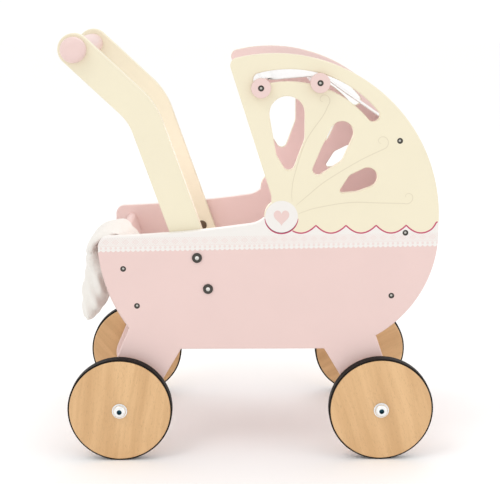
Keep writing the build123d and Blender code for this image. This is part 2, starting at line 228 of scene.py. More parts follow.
class Finish:
    """One material, with one method that makes its nodes."""

    def __init__(self, name, base, roughness, **fixed):
        self.material = bpy.data.materials.new(name)
        self.material.use_nodes = True
        self.material.diffuse_color = (*base, 1.0)
        self.tree = self.material.node_tree
        self.shader = self.tree.nodes["Principled BSDF"]
        self.set("Base Color", (*base, 1.0))
        self.set("Roughness", roughness)
        for key, value in fixed.items():
            self.set(key.replace("_", " ").title().replace("Ior", "IOR"), value)

    def set(self, name, value):
        """A number, a colour or a link for one socket of the shader."""
        if isinstance(value, Socket):
            self.tree.links.new(value.link, self.shader.inputs[name])
        else:
            self.shader.inputs[name].default_value = value

    def node(self, kind, settings=None, inputs=(), output=0):
        """Any node: its settings first, then the values or links of its sockets."""
        made = self.tree.nodes.new(kind)
        for key, value in (settings or {}).items():
            if key == "stops":
                self.ramp(made.color_ramp, value)
            else:
                setattr(made, key, value)
        pairs = inputs.items() if isinstance(inputs, dict) else enumerate(inputs)
        for key, value in pairs:
            if isinstance(value, Socket):
                self.tree.links.new(value.link, made.inputs[key])
            else:
                made.inputs[key].default_value = value
        return Socket(self, made.outputs[output])

    def ramp(self, ramp, stops):
        """A colour ramp's stops, as (place, colour) pairs."""
        while len(ramp.elements) < len(stops):
            ramp.elements.new(1.0)
        for element, (place, tint) in zip(ramp.elements, stops):
            element.position = place
            element.color = (*tint, 1.0)

    def place(self):
        """The point in the pram's own frame."""
        return self.node("ShaderNodeTexCoord", output="Object")

    def axes(self, vector=None):
        """The three parts of a vector, by default of the place."""
        source = vector or self.place()
        return [self.node("ShaderNodeSeparateXYZ", None, [source], output=axis) for axis in "XYZ"]

    def join(self, x, y, z):
        return self.node("ShaderNodeCombineXYZ", None, [x, y, z])

    def normal(self):
        return self.axes(self.node("ShaderNodeNewGeometry", output="Normal"))

    def mix(self, share, first, second):
        """One colour turning into another as the share goes from 0 to 1."""
        pair = [tint if isinstance(tint, Socket) else (*tint, 1.0) for tint in (first, second)]
        return self.node("ShaderNodeMix", {"data_type": "RGBA", "clamp_factor": True},
                         {0: share, 6: pair[0], 7: pair[1]}, output=2)

    def tinted(self, tint, amount, share):
        """A colour made lighter or darker by a share from 0 to 1."""
        dark = [channel * (1 - amount) for channel in tint]
        light = [min(1.0, channel * (1 + amount)) for channel in tint]
        return self.mix(share, dark, light)

    def noise(self, scale, detail=2.0, roughness=0.5, vector=None):
        inputs = {"Vector": vector or self.place(), "Scale": scale, "Detail": detail,
                  "Roughness": roughness}
        return self.node("ShaderNodeTexNoise", None, inputs)

    def bump(self, height, distance, strength=1.0):
        """A bump whose height is in metres for a share of 1."""
        self.set("Normal", self.node("ShaderNodeBump", None, {"Height": height,
                 "Distance": distance, "Strength": strength}))


def dress(finish, *nodes):
    """Give CAD nodes a material; their shape and place stay."""
    for name in nodes:
        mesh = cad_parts[name].data
        mesh.materials.clear()
        mesh.materials.append(finish.material)


# ---- paint -------------------------------------------------------------------------------
def satin(name, tint, roughness=0.42):
    """Sprayed satin paint: a faint mottle, a fine orange peel and a thin clear coat."""
    paint = Finish(name, tint, roughness, coat_weight=0.12, coat_roughness=0.3)
    mottle = paint.noise(18, 4)
    fine = paint.noise(420, 3)
    paint.set("Base Color", paint.tinted(tint, 0.035, mottle))
    paint.set("Roughness", mottle * 0.1 + roughness - 0.05 + fine * 0.05)
    paint.bump(fine * 0.8 + paint.noise(90) * 1.6, 0.00006, 0.7)
    return paint


TAIL_SWEEP = 85.0                         # how sharply the last scallop turns up, per metre


def scallop_line(x, settings):
    """The height of the scalloped border between the two colours, over x."""
    share = ((x - settings.scallop_start) / settings.scallop_pitch).part() * 2 - 1
    sweep = (x - settings.scallop_tail).most(0.0) ** 2 * TAIL_SWEEP
    return settings.scallop_top - (1 - share * share) * settings.scallop_depth + sweep


LACE_EYES = 2.4 * MM                      # heights above the lace's edge: the row of eyelets,
LACE_BAND = 4.6 * MM                      # the plain band over them,
LACE_NET = (4.8 * MM, 14.5 * MM)          # the net, from here to here,
LACE_FLOWERS = 9.5 * MM                   # and the flowers in it
NET_MESH = 2.9 * MM                       # the net's spacing


def lace_pattern(x, drop, settings):
    """Printed lace: how white each point is, below the rim and above the picot edge."""
    pitch = settings.lace_pitch
    along = (x / pitch).part() * 2 - 1
    picot = (1 - along * along) * 0.0021
    inside = (drop + picot).above(0.0, 0.00012)
    half = ((x / pitch) + 0.5).part() * 2 - 1
    eye_r = ((half * pitch / 2) ** 2 + (drop - LACE_EYES) ** 2) ** 0.5
    eyelet = eye_r.above(0.0014, 0.0002) + (1 - eye_r.above(0.0008, 0.0001)) * 0.45
    big = (x / (pitch * 2)).part() * 2 - 1
    petal_r = abs(big) * pitch + abs(drop - LACE_FLOWERS) * 1.35
    petal = abs(petal_r - 0.0034).above(0.0008, 0.0002)
    core = (petal_r - 0.0014).above(0.0, 0.0001)
    thread = 2 * math.pi / NET_MESH
    net = (x * thread).sine() * (drop * thread).sine()
    low, high = LACE_NET
    holes = net.above(0.15, 0.12) * drop.above(low, 0.0001) * (1 - drop.above(high, 0.0001))
    band = abs(drop - LACE_BAND).above(0.00035, 0.0001) * 0.5 + 0.5
    shade = eyelet.least(1.0) * petal.most(0.55) * core.most(0.6) * (1 - holes * 0.55) * band
    return inside * (0.22 + shade * 0.78)


def panel_paint(settings, side_name, side):
    """A side panel: cream hood and pink body outside, with lace between, and pink inside."""
    paint = Finish("panel_paint_" + side_name, settings.pink, 0.42, coat_weight=0.12,
                   coat_roughness=0.3)
    x, _, z = paint.axes()
    outward = paint.normal()[1] * side
    mottle, fine = paint.noise(18, 4), paint.noise(420, 3)
    hood = (z - scallop_line(x, settings)).above(0.0, 0.00015)
    rear = 1 - (x - HEART.x).above(0.0, 0.0005)
    hood = hood * (1 - rear * (1 - (z - HEART.y).above(0.0, 0.0005)))
    lace_edge = z - (settings.lace_low + (x + 0.175) * settings.lace_rise)
    lace = lace_pattern(x, lace_edge, settings) * (1 - hood)
    outer_or_edge = outward.above(-0.6, 0.15)
    pink = paint.tinted(settings.pink, 0.03, mottle)
    cream = paint.tinted(settings.cream, 0.03, mottle)
    face = paint.mix(lace * outer_or_edge, pink, settings.white)
    paint.set("Base Color", paint.mix(hood * outer_or_edge, face, cream))
    paint.set("Roughness", mottle * 0.1 + 0.37 + fine * 0.05)
    print_step = lace * outer_or_edge * 0.5
    paint.bump(fine * 0.5 + paint.noise(90) + print_step, 0.00006, 0.7)
    return paint


class PRAM_OT_paint_boards(bpy.types.Operator):
    """Paint the side panels, the end boards, the handle, the bows and the knobs"""
    bl_idname = "pram.paint_boards"
    bl_label = "Paint Boards"

    def execute(self, context):
        settings = context.scene.pram_paint
        for name, side in SIDES:
            dress(panel_paint(settings, name, side), "side_panel_" + name)
        pink = satin("pink_paint", settings.pink)
        dress(pink, "floor_board", "rear_board", "front_board", "hood_rail", "handle_rod",
              "handle_knob_left", "handle_knob_right", "canopy_bow_front", "canopy_bow_middle",
              "bow_knobs_front", "bow_knobs_middle")
        dress(satin("cream_paint", settings.cream), "handle_arm_left", "handle_arm_right")
        return {"FINISHED"}


# ---- printed decoration ------------------------------------------------------------------
PRINT_LIFT = 0.12 * MM                    # how far the print stands off the paint


def new_piece(name, mesh, finish, body=ROOT):
    """A mesh as a piece of the pram, on a body."""
    thing = bpy.data.objects.new(name, mesh)
    bpy.context.scene.collection.objects.link(thing)
    mesh.materials.append(finish.material)
    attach(thing, body)
    return thing


def smooth_path(points, count):
    """Even points along a smooth curve through a few (x, z) points, in metres."""
    line = [Vector((x, z)) * MM for x, z in points]
    line = [line[0] * 2 - line[1], *line, line[-1] * 2 - line[-2]]
    found = []
    for index in range(1, len(line) - 2):
        a, b, c, d = line[index - 1:index + 3]
        steps = count if index < len(line) - 3 else count + 1
        for step in range(steps):
            t = step / count
            found.append(0.5 * (2 * b + (c - a) * t + (2 * a - 5 * b + 4 * c - d) * t * t
                                + (3 * b - a - 3 * c + d) * t ** 3))
    return found


def curl(centre, start, turns, count=26):
    """A small spiral in from a start point to a centre, as (x, z) in millimetres."""
    dx, dz = start[0] - centre[0], start[1] - centre[1]
    radius, angle = math.hypot(dx, dz), math.atan2(dz, dx)
    points = []
    for step in range(1, count + 1):
        share = step / count
        now = radius * (1 - 0.78 * share)
        turn = angle + turns * 2 * math.pi * share
        points.append(Vector((centre[0] + now * math.cos(turn), centre[1] + now * math.sin(turn))) * MM)
    return points


def ribbon(mesh, line, width, side, taper=0.0):
    """A flat printed line along (x, z) points on one panel's outer face."""
    y = side * (FACE + PRINT_LIFT)
    rows = []
    for index, point in enumerate(line):
        ahead = line[min(index + 1, len(line) - 1)] - line[max(index - 1, 0)]
        across = Vector((-ahead.y, ahead.x)).normalized()
        share = index / (len(line) - 1)
        half = width / 2 * (1 - taper * abs(2 * share - 1) ** 3)
        rows.append([mesh.verts.new((point.x + across.x * half * way, y, point.y + across.y * half * way))
                     for way in (-1, 1)])
    for first, second in zip(rows, rows[1:]):
        ring = [first[0], second[0], second[1], first[1]]
        mesh.faces.new(ring if side < 0 else ring[::-1])


def printed(name, outline, side, lift, finish):
    """A printed patch with a closed (x, z) outline, slightly raised, with a rim."""
    mesh = bmesh.new()
    ring = [mesh.verts.new((point.x, side * (FACE + lift), point.y)) for point in outline]
    face = mesh.faces.new(ring)
    made = bmesh.ops.extrude_face_region(mesh, geom=[face])
    lower = [item for item in made["geom"] if isinstance(item, bmesh.types.BMVert)]
    bmesh.ops.translate(mesh, verts=lower, vec=(0, -side * (lift + 0.05 * MM), 0))
    bmesh.ops.recalc_face_normals(mesh, faces=mesh.faces)
    data = bpy.data.meshes.new(name)
    mesh.to_mesh(data)
    mesh.free()
    return new_piece(name, data, finish)


def circle(centre, radius, start=0.0, end=360.0, count=72):
    """Points round a circle in the X-Z plane."""
    angles = [math.radians(start + (end - start) * step / count) for step in range(count + 1)]
    return [centre + Vector((math.cos(angle), math.sin(angle))) * radius for angle in angles]


def heart_outline(centre, width):
    """The outline of a plain heart, from its well-known sine curve."""
    points = []
    for step in range(64):
        t = 2 * math.pi * step / 64
        x = 16 * math.sin(t) ** 3
        z = 13 * math.cos(t) - 5 * math.cos(2 * t) - 2 * math.cos(3 * t) - math.cos(4 * t)
        points.append(centre + Vector((x, (z + 2.2) * 1.12)) * (width / 32))
    return points


def scallops(settings):
    """The scalloped border as points, from the boss to the front edge."""
    first, last = HEART.x + 13 * MM, PANEL_HIGH.x - 1.6 * MM
    points = []
    for step in range(181):
        x = first + (last - first) * step / 180
        share = ((x - settings.scallop_start) / settings.scallop_pitch) % 1.0 * 2 - 1
        sweep = max(x - settings.scallop_tail, 0.0) ** 2 * TAIL_SWEEP
        drop = (1 - share * share) * settings.scallop_depth
        points.append(Vector((x, settings.scallop_top - drop + sweep)))
    return points


class PRAM_OT_print(bpy.types.Operator):
    """Print the heart, the crimson scallop line and the fine curls on both panels"""
    bl_idname = "pram.print"
    bl_label = "Print Decoration"

    veins = (
        ([(49.5, 309.0), (49.2, 322.0), (52.6, 342.0), (65.2, 380.0), (84.4, 408.8), (90.4, 421.0)],
         (84.6, 427.2), 0.85),
        ([(54.0, 304.5), (68.0, 316.5), (88.7, 333.4), (126.8, 356.7), (157.7, 371.7)],
         (152.6, 379.0), 0.85),
        ([(57.2, 295.0), (77.5, 301.6), (115.8, 307.9), (152.0, 307.4), (180.0, 306.8)],
         (184.0, 314.4), 0.85),
    )

    def execute(self, context):
        settings = context.scene.pram_paint
        crimson = satin("crimson_print", settings.crimson, 0.5)
        vein = satin("vein_print", settings.vein, 0.5)
        white = satin("boss_print", settings.white, 0.45)
        heart = satin("heart_print", settings.pink, 0.45)
        for name, side in SIDES:
            printed("boss_disc_" + name, circle(HEART, HEART_R - 0.9 * MM)[:-1], side, PRINT_LIFT,
                    white)
            printed("heart_" + name, heart_outline(HEART - Vector((0, 1.4)) * MM, 18.2 * MM), side,
                    PRINT_LIFT * 1.8, heart)
            self.lines("crimson_line_" + name, side, crimson,
                       [(scallops(settings), 1.6 * MM, 0.0),
                        (circle(HEART, HEART_R - 0.5 * MM, 186, 354), 1.9 * MM, 0.7)])
            self.lines("hood_curls_" + name, side, vein,
                       [(smooth_path(line, 14) + curl(centre, line[-1], turns), 1.0 * MM, 0.5)
                        for line, centre, turns in self.veins])
        return {"FINISHED"}

    def lines(self, name, side, finish, lines):
        """Several ribbons as one piece."""
        mesh = bmesh.new()
        for line, width, taper in lines:
            ribbon(mesh, line, width, side, taper)
        data = bpy.data.meshes.new(name)
        mesh.to_mesh(data)
        mesh.free()
        thing = new_piece(name, data, finish)
        skin = thing.modifiers.new("thickness", "SOLIDIFY")
        skin.thickness = PRINT_LIFT * 1.3
        skin.offset = -1


# ---- wheels and metal --------------------------------------------------------------------
def wheel_wood(settings, name, centre, lean, seed):
    """Lacquered light wood: broad wavy grain, fine fibres and small pores, across the disc."""
    wood = Finish("wood_" + name, settings.pale, 0.38, coat_weight=0.25, coat_roughness=0.25)
    x, y, z = wood.axes()
    across = (x - centre.x) * math.cos(lean) + (z - centre.z) * math.sin(lean)
    along = (z - centre.z) * math.cos(lean) - (x - centre.x) * math.sin(lean)
    drift = wood.noise(14, 2, vector=wood.join(across * 0.6, y * 0.6 + seed, along * 0.35)) - 0.5
    warped = across + drift * 0.03
    broad = wood.noise(1.0, 3, 0.55, wood.join(warped * 62, y * 8 + seed, along * 5))
    lines = wood.noise(1.0, 3, 0.6, wood.join(warped * 230, y * 20, along * 9 + seed))
    fibre = wood.noise(1.0, 2, 0.6, wood.join(across * 1500, y * 60 + seed, along * 60))
    pores = wood.noise(1.0, 1, 0.5, wood.join(across * 2400, y * 300, along * 240 + seed)).above(0.67, 0.03)
    rays = wood.noise(1.0, 2, 0.5, wood.join(across * 10, y * 10, along * 26 + seed))
    share = broad.above(0.5, 0.2) * 0.6 + lines.above(0.55, 0.2) * 0.14 + rays * 0.14 + fibre * 0.08
    tint = wood.mix(share, settings.pale, settings.dark)
    deep = [channel * 0.62 for channel in settings.dark]
    wood.set("Base Color", wood.mix(pores * 0.4, tint, deep))
    wood.set("Roughness", 0.34 + lines * 0.12 + pores * 0.1)
    wood.bump(fibre * 0.5 + lines * 0.5 - pores * 0.8, 0.00005, 0.6)
    return wood


class PRAM_OT_finish_wheels(bpy.types.Operator):
    """Give the wheels their wood grain and the tyres their rubber"""
    bl_idname = "pram.finish_wheels"
    bl_label = "Finish Wheels"

    leans = {"rear_right": -7, "front_right": 20, "rear_left": 40, "front_left": -62}

    def execute(self, context):
        settings = context.scene.pram_wood
        for seed, name in enumerate(ENDS):
            wood = wheel_wood(settings, name, middle("wheel_" + name),
                              math.radians(self.leans[name]), seed * 3.7 + 1.3)
            dress(wood, "wheel_" + name)
        rubber = Finish("tyre_rubber", settings.rubber, 0.62, specular_ior_level=0.2)
        dust = rubber.noise(55, 5, 0.65)
        rubber.set("Base Color", rubber.mix(dust.above(0.55, 0.15) * 0.35, settings.rubber,
                                            (0.016, 0.013, 0.011)))
        rubber.set("Roughness", 0.55 + dust * 0.2)
        rubber.bump(rubber.noise(900, 2) + dust, 0.00005, 0.6)
        dress(rubber, *["tyre_" + name for name in ENDS])
        brass = Finish("bush_brass", (0.62, 0.44, 0.18), 0.32, metallic=1.0)
        brass.bump(brass.noise(700, 2), 0.00003, 0.5)
        dress(brass, *["wheel_bush_" + name for name in ENDS])
        return {"FINISHED"}


def near_axis(points, x, z):
    """The distance to the nearest of several axes along Y."""
    found = None
    for px, pz in sorted({(round(point.x, 4), round(point.z, 4)) for point in points}):
        away = ((x - px) ** 2 + (z - pz) ** 2) ** 0.5
        found = away if found is None else found.least(away)
    return found


def zinc(name, tint=(0.80, 0.81, 0.82), roughness=0.24):
    """Bright zinc plate with fine turning marks."""
    metal = Finish(name, tint, roughness, metallic=1.0)
    grain = metal.noise(900, 2)
    cloudy = metal.noise(160, 3)
    metal.set("Base Color", metal.tinted(tint, 0.06, cloudy))
    metal.set("Roughness", roughness - 0.06 + cloudy * 0.16)
    metal.bump(grain, 0.00003, 0.5)
    return metal


def bolt_with_painted_socket(name, node, rim, core, painted_socket_r, rim_metal=0.6):
    """A bolt with a painted socket: the head has the rim colour and the socket the core colour, which is
    painted light (a painted highlight when bright, painted shade when dark); head and socket are told apart
    by the distance to the bolt's axis.
    """
    metal = Finish(name, rim, 0.35)
    x, _, z = metal.axes()
    away = near_axis(pieces_of(node), x, z)
    outside = away.above(painted_socket_r, 0.00012)
    cloudy = metal.noise(300, 3)
    # inside the core radius the core colour paints the light in the socket: a bright core is a painted
    # highlight, a dark core is painted shade
    metal.set("Base Color", metal.mix(outside, core, metal.tinted(rim, 0.12, cloudy)))
    metal.set("Metallic", outside * (rim_metal - 0.9) + 0.9)
    metal.set("Roughness", 0.26 + cloudy * 0.18)
    metal.bump(metal.noise(900, 2), 0.00003, 0.5)
    return metal


class PRAM_OT_finish_metal(bpy.types.Operator):
    """Plate the bolts, washers, nuts and screws"""
    bl_idname = "pram.finish_metal"
    bl_label = "Finish Metal"

    def execute(self, context):
        # the wheel bolts' dark blue core is painted shade in the hex socket of the zinc head
        dress(bolt_with_painted_socket("wheel_bolt_zinc", "wheel_bolts", (0.86, 0.88, 0.88), (0.02, 0.07, 0.10),
                         3.0 * MM, 0.85), "wheel_bolts")
        dress(zinc("plain_zinc"), "wheel_washers", "leg_nuts")
        dress(Finish("nut_bronze", (0.150, 0.115, 0.080), 0.38, metallic=0.9), "arm_nuts")
        # light is a painted highlight in the sockets of the screws
        dark, light = (0.060, 0.055, 0.048), (0.62, 0.61, 0.57)
        # the arm bolts' bright core is a painted highlight in the socket
        dress(bolt_with_painted_socket("arm_bolt_bronze", "arm_bolts", dark, (0.86, 0.85, 0.82), 2.3 * MM),
              "arm_bolts")
        for node in ("panel_screws", "bow_screws_front", "bow_screws_middle"):
            dress(bolt_with_painted_socket(node + "_steel", node, dark, light, 1.35 * MM), node)
        return {"FINISHED"}


# ---- cloth -------------------------------------------------------------------------------
def cotton(name, tint, pitch, crease=0.35, stitch_at=None):
    """Plain-woven cotton: crossing threads, slubs and soft creases in its bump."""
    cloth = Finish(name, tint, 0.86, sheen_weight=0.25, sheen_roughness=0.45,
                   specular_ior_level=0.25)
    x, y, z = cloth.axes()
    turn = 2 * math.pi / pitch
    over = (y * turn).sine()
    under = ((x + z) * turn).sine()
    weave = over * under * 0.5 + 0.5
    slub = cloth.noise(1.0, 2, 0.5, cloth.join(x * 90, y * 900, z * 90))
    soft = cloth.noise(26, 4, 0.55)
    cloth.set("Base Color", cloth.tinted(tint, 0.05, soft * 0.6 + slub * 0.25 + weave * 0.15))
    cloth.set("Roughness", 0.80 + slub * 0.14)
    height = weave * 0.05 + slub * 0.05 + soft * crease
    if stitch_at is not None:
        seam = 1 - (abs(abs(y) - stitch_at)).above(0.0005, 0.0002)
        dash = ((x + z) / 0.0034).part().above(0.4, 0.06)
        height = height - seam * (0.35 - dash * 0.5)
    cloth.bump(height, 0.0014, 0.6)
    return cloth


def sheet_mesh(name, rows):
    """A grid mesh from rows of points."""
    mesh = bmesh.new()
    grid = [[mesh.verts.new(point) for point in row] for row in rows]
    for first, second in zip(grid, grid[1:]):
        for index in range(len(first) - 1):
            mesh.faces.new((first[index], first[index + 1], second[index + 1], second[index]))
    bmesh.ops.recalc_face_normals(mesh, faces=mesh.faces)
    data = bpy.data.meshes.new(name)
    mesh.to_mesh(data)
    mesh.free()
    for face in data.polygons:
        face.use_smooth = True
    return data


def arc(centre, radius, start, end, count):
    """(x, z) points round an arc; angles run from straight up, towards the front."""
    points = []
    for step in range(count + 1):
        angle = math.radians(start + (end - start) * step / count)
        points.append(Vector((centre.x + radius * math.sin(angle), centre.z + radius * math.cos(angle))))
    return points


def even(line, step):
    """A polyline's points, spaced evenly."""
    found, carry = [line[0]], 0.0
    for first, second in zip(line, line[1:]):
        span = (second - first).length
        while carry + span >= step:
            share = (step - carry) / span
            first = first.lerp(second, share)
            found.append(first)
            span = (second - first).length
            carry = 0.0
        carry += span
    return found + [line[-1]]


class PRAM_OT_make_canopy(bpy.types.Operator):
    """Stretch the canopy cloth from bow to bow, over the rail and down to the front board"""
    bl_idname = "pram.make_canopy"
    bl_label = "Make Canopy"

    # the hem that laps over the front panel: (reach, height over the bow's sleeve) in millimetres
    hem = ((2, 2.0), (4, 2.0), (7, 2.0), (10, 2.0), (13, 2.0), (15, 1.6))

    def execute(self, context):
        settings = context.scene.pram_cloth
        cloth = cotton("canopy_cotton", settings.canopy, settings.pitch, 0.25, stitch_at=0.1015)
        front_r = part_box("canopy_hem")[1].z - FRONT_BOW.z
        middle_r = (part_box("canopy_bow_middle")[1].z - MIDDLE_BOW.z) + 1.25 * MM
        rail_r = (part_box("hood_rail")[1].z - RAIL.z) + 2.4 * MM
        slope = self.angle(FRONT_BOW, MIDDLE_BOW)
        front_hem = self.sleeve("canopy_sleeve_front", FRONT_BOW, front_r, cloth, "front_bow", slope)
        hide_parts("canopy_hem")
        middle_hem = self.sleeve("canopy_sleeve_middle", MIDDLE_BOW, middle_r, cloth, "middle_bow")
        lip = Vector((FRONT_BOARD[1].x + 2.2 * MM, FRONT_BOARD[1].z - 6 * MM))
        foot = Vector((self.foot_x(CANOPY[0].z), CANOPY[0].z))
        fall = self.angle(MIDDLE_BOW, RAIL)
        drop = self.angle(RAIL, Vector((lip.x, 0, lip.y)))
        front = [self.along(FRONT_BOW, front_r + 0.3 * MM, slope, 9.0 * MM),
                 *arc(MIDDLE_BOW, middle_r + 0.3 * MM, slope, slope + 20, 3)]
        rear = [*arc(MIDDLE_BOW, middle_r + 0.3 * MM, slope, fall, 6),
                *arc(RAIL, rail_r, fall, drop, 12), lip, foot]
        self.panel("canopy_front", front, cloth, "middle_bow", (FRONT_BOW, MIDDLE_BOW), [front_hem],
                   ["canopy_bow_front", "canopy_bow_middle"])
        self.panel("canopy_rear", rear, cloth, "middle_bow", (RAIL, MIDDLE_BOW), [middle_hem],
                   ["canopy_bow_middle", "hood_rail", "front_board"])
        return {"FINISHED"}

    def angle(self, first, second):
        """The way square to a taut span between two bows, as an angle from straight up."""
        return -math.degrees(math.atan2(second.z - first.z, second.x - first.x))

    def panel(self, name, path, cloth, bow, ends, hems, rests_on):
        """One taut panel of cloth along an (x, z) path, with soft ripples across it."""
        line = even(path, 2.2 * MM)
        half, across, rows = CANOPY[1].y - 0.6 * MM, 60, []
        for index, point in enumerate(line):
            ahead = line[min(index + 1, len(line) - 1)] - line[max(index - 1, 0)]
            out = Vector((-ahead.y, ahead.x)).normalized()
            share = index / (len(line) - 1)
            free = min(1.0, share * 7) * min(1.0, (1 - share) * 7)
            row = []
            for column in range(across + 1):
                side = 2 * column / across - 1
                wave = noise.noise(Vector((point.x * 20, side * 2.1, point.y * 20)))
                pull = noise.noise(Vector((share * 1.3, side * 8.0, 4.0)))
                sag = -0.9 * MM + (0.8 * wave + 0.9 * pull) * (1 - side ** 8) * MM
                hem = 0.45 * MM if abs(side) > 0.945 else 0.0
                lift = sag * free + hem
                row.append((point.x + out.x * lift, side * half, point.y + out.y * lift))
            rows.append(row)
        thing = bpy.data.objects.new(name, sheet_mesh(name, rows))
        bpy.context.scene.collection.objects.link(thing)
        thing.data.materials.append(cloth.material)
        skin = thing.modifiers.new("thickness", "SOLIDIFY")
        skin.thickness = 0.7 * MM
        skin.offset = 0
        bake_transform(thing)
        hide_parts("canopy_cloth")
        size = sum((b - a).length for a, b in zip(line, line[1:]))

    def foot_x(self, z):
        """Where the cloth's lower edge lies on the leaning front board."""
        corners = [v.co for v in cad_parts["canopy_cloth"].data.vertices if v.co.z < z + 1.5 * MM]
        return sum(corner.x for corner in corners) / len(corners)

    def along(self, bow, radius, slope, reach):
        """A point off a bow's top, some way along the taut span that leaves it, as (x, z)."""
        turn = math.radians(slope)
        return Vector((bow.x + radius * math.sin(turn) + reach * math.cos(turn),
                       bow.z + radius * math.cos(turn) - reach * math.sin(turn)))

    def sleeve(self, name, bow, radius, cloth, body, slope=None):
        """The sewn sleeve round a bow, softly gathered; with a slope, its hem laps over the span."""
        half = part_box("canopy_hem")[1].y
        rows = []
        for step in range(97):
            y = -half + 2 * half * step / 96
            row = []
            for turn in range(33):
                angle = 2 * math.pi * turn / 32 + math.radians(slope or 0)
                ripple = noise.noise(Vector((y * 120, math.cos(angle) * 1.2, math.sin(angle) * 1.2)))
                r = radius + (0.1 + 0.4 * ripple) * MM
                row.append((bow.x + r * math.sin(angle), y, bow.z + r * math.cos(angle)))
            for reach, lift in self.hem if slope is not None else ():
                point = self.along(bow, radius + lift * MM, slope, reach * MM)
                row.append((point.x, y, point.y))
            rows.append(row)
        return new_piece(name, sheet_mesh(name, rows), cloth, body)


# ---- padded bedding ----------------------------------------------------------------------
def pad_shape(name, outline, thickness, crown=1.0, columns=36):
    """A closed pad over a rounded-rectangle plan, thin at its seam and thick in its middle."""
    (x0, x1), (y0, y1), z = outline
    mesh = bmesh.new()
    half_x, half_y = (x1 - x0) / 2, (y1 - y0) / 2
    cx, cy = (x0 + x1) / 2, (y0 + y1) / 2
    layers = []
    for way in (-1, 1):
        grid = []
        for i in range(columns + 1):
            row = []
            for j in range(columns + 1):
                u, v = 2 * i / columns - 1, 2 * j / columns - 1
                px = u * math.sqrt(1 - 0.18 * v * v * v * v)
                py = v * math.sqrt(1 - 0.18 * u * u * u * u)
                edge = (1 - abs(u) ** 3.2) * (1 - abs(v) ** 3.2)
                rise = thickness / 2 * (max(edge, 0.0) ** 0.42)
                row.append(mesh.verts.new((cx + px * half_x, cy + py * half_y,
                                           z + way * rise * crown)))
            grid.append(row)
        for a, b in zip(grid, grid[1:]):
            for j in range(columns):
                ring = (a[j], a[j + 1], b[j + 1], b[j])
                mesh.faces.new(ring if way < 0 else ring[::-1])
        layers.append(grid)
    bmesh.ops.remove_doubles(mesh, verts=mesh.verts, dist=1e-5)
    bmesh.ops.recalc_face_normals(mesh, faces=mesh.faces)
    data = bpy.data.meshes.new(name)
    mesh.to_mesh(data)
    mesh.free()
    return data


def puff(thing, cap, steps, pressure=4.0, voxel=5 * MM, shrink=-0.03, hold=None):
    """Blow a closed shape up as cloth, cap how far each point moves, and smooth it."""
    bpy.context.view_layer.objects.active = thing
    scene = bpy.context.scene
    mesher = thing.modifiers.new("remesh", "REMESH")
    mesher.mode = "VOXEL"
    mesher.voxel_size = voxel
    apply_all(thing)
    rest = [vert.co.copy() for vert in thing.data.vertices]
    solver = thing.modifiers.new("cloth", "CLOTH")
    solver.settings.use_pressure = True
    solver.settings.uniform_pressure_force = pressure
    solver.settings.effector_weights.gravity = 0
    solver.settings.shrink_min = shrink
    solver.settings.quality = 5
    solver.point_cache.frame_start = 1
    solver.point_cache.frame_end = steps
    for now in range(1, steps + 1):
        scene.frame_set(now)
    apply_all(thing)
    scene.frame_set(1)
    for vert, home in zip(thing.data.vertices, rest):
        move = vert.co - home
        if move.length > cap:
            vert.co = home + move.normalized() * cap
        if hold:
            vert.co = hold(vert.co)
    fine = thing.modifiers.new("smooth", "SUBSURF")
    fine.levels = fine.render_levels = 1
    apply_all(thing)
    for face in thing.data.polygons:
        face.use_smooth = True


def apply_all(thing):
    """The piece's mesh, with its modifiers worked in."""
    graph = bpy.context.evaluated_depsgraph_get()
    graph.update()
    data = bpy.data.meshes.new_from_object(thing.evaluated_get(graph))
    thing.modifiers.clear()
    thing.data = data


def loose(name, data, finish):
    """A mesh in the scene that isn't on a body yet."""
    thing = bpy.data.objects.new(name, data)
    bpy.context.scene.collection.objects.link(thing)
    data.materials.append(finish.material)
    return thing


def piping(name, line, radius, finish, closed=True):
    """A round corded seam along 3-D points."""
    curve = bpy.data.curves.new(name, "CURVE")
    curve.dimensions = "3D"
    curve.bevel_depth = radius
    curve.bevel_resolution = 3
    spline = curve.splines.new("POLY")
    spline.points.add(len(line) - 1)
    for point, place in zip(spline.points, line):
        point.co = (*place, 1.0)
    spline.use_cyclic_u = closed
    thing = bpy.data.objects.new(name, curve)
    bpy.context.scene.collection.objects.link(thing)
    curve.materials.append(finish.material)
    graph = bpy.context.evaluated_depsgraph_get()
    data = bpy.data.meshes.new_from_object(thing.evaluated_get(graph))
    bpy.data.objects.remove(thing)
    for face in data.polygons:
        face.use_smooth = True
    return new_piece(name, data, finish)


def pad_edge(outline, count=40):
    """The seam line of pad_shape, as 3-D points."""
    (x0, x1), (y0, y1), z = outline
    half_x, half_y = (x1 - x0) / 2, (y1 - y0) / 2
    cx, cy = (x0 + x1) / 2, (y0 + y1) / 2
    points = []
    sides = (lambda t: (2 * t - 1, -1), lambda t: (1, 2 * t - 1),
             lambda t: (1 - 2 * t, 1), lambda t: (-1, 1 - 2 * t))
    for side in sides:
        for step in range(count):
            u, v = side(step / count)
            points.append((cx + u * math.sqrt(1 - 0.18 * v ** 4) * half_x,
                           cy + v * math.sqrt(1 - 0.18 * u ** 4) * half_y, z))
    return points


def inner_outline(node, inset):
    """A node's plan and middle height, pulled in by an inset."""
    low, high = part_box(node)
    return ((low.x + inset, high.x - inset), (low.y + inset, high.y - inset), (low.z + high.z) / 2)


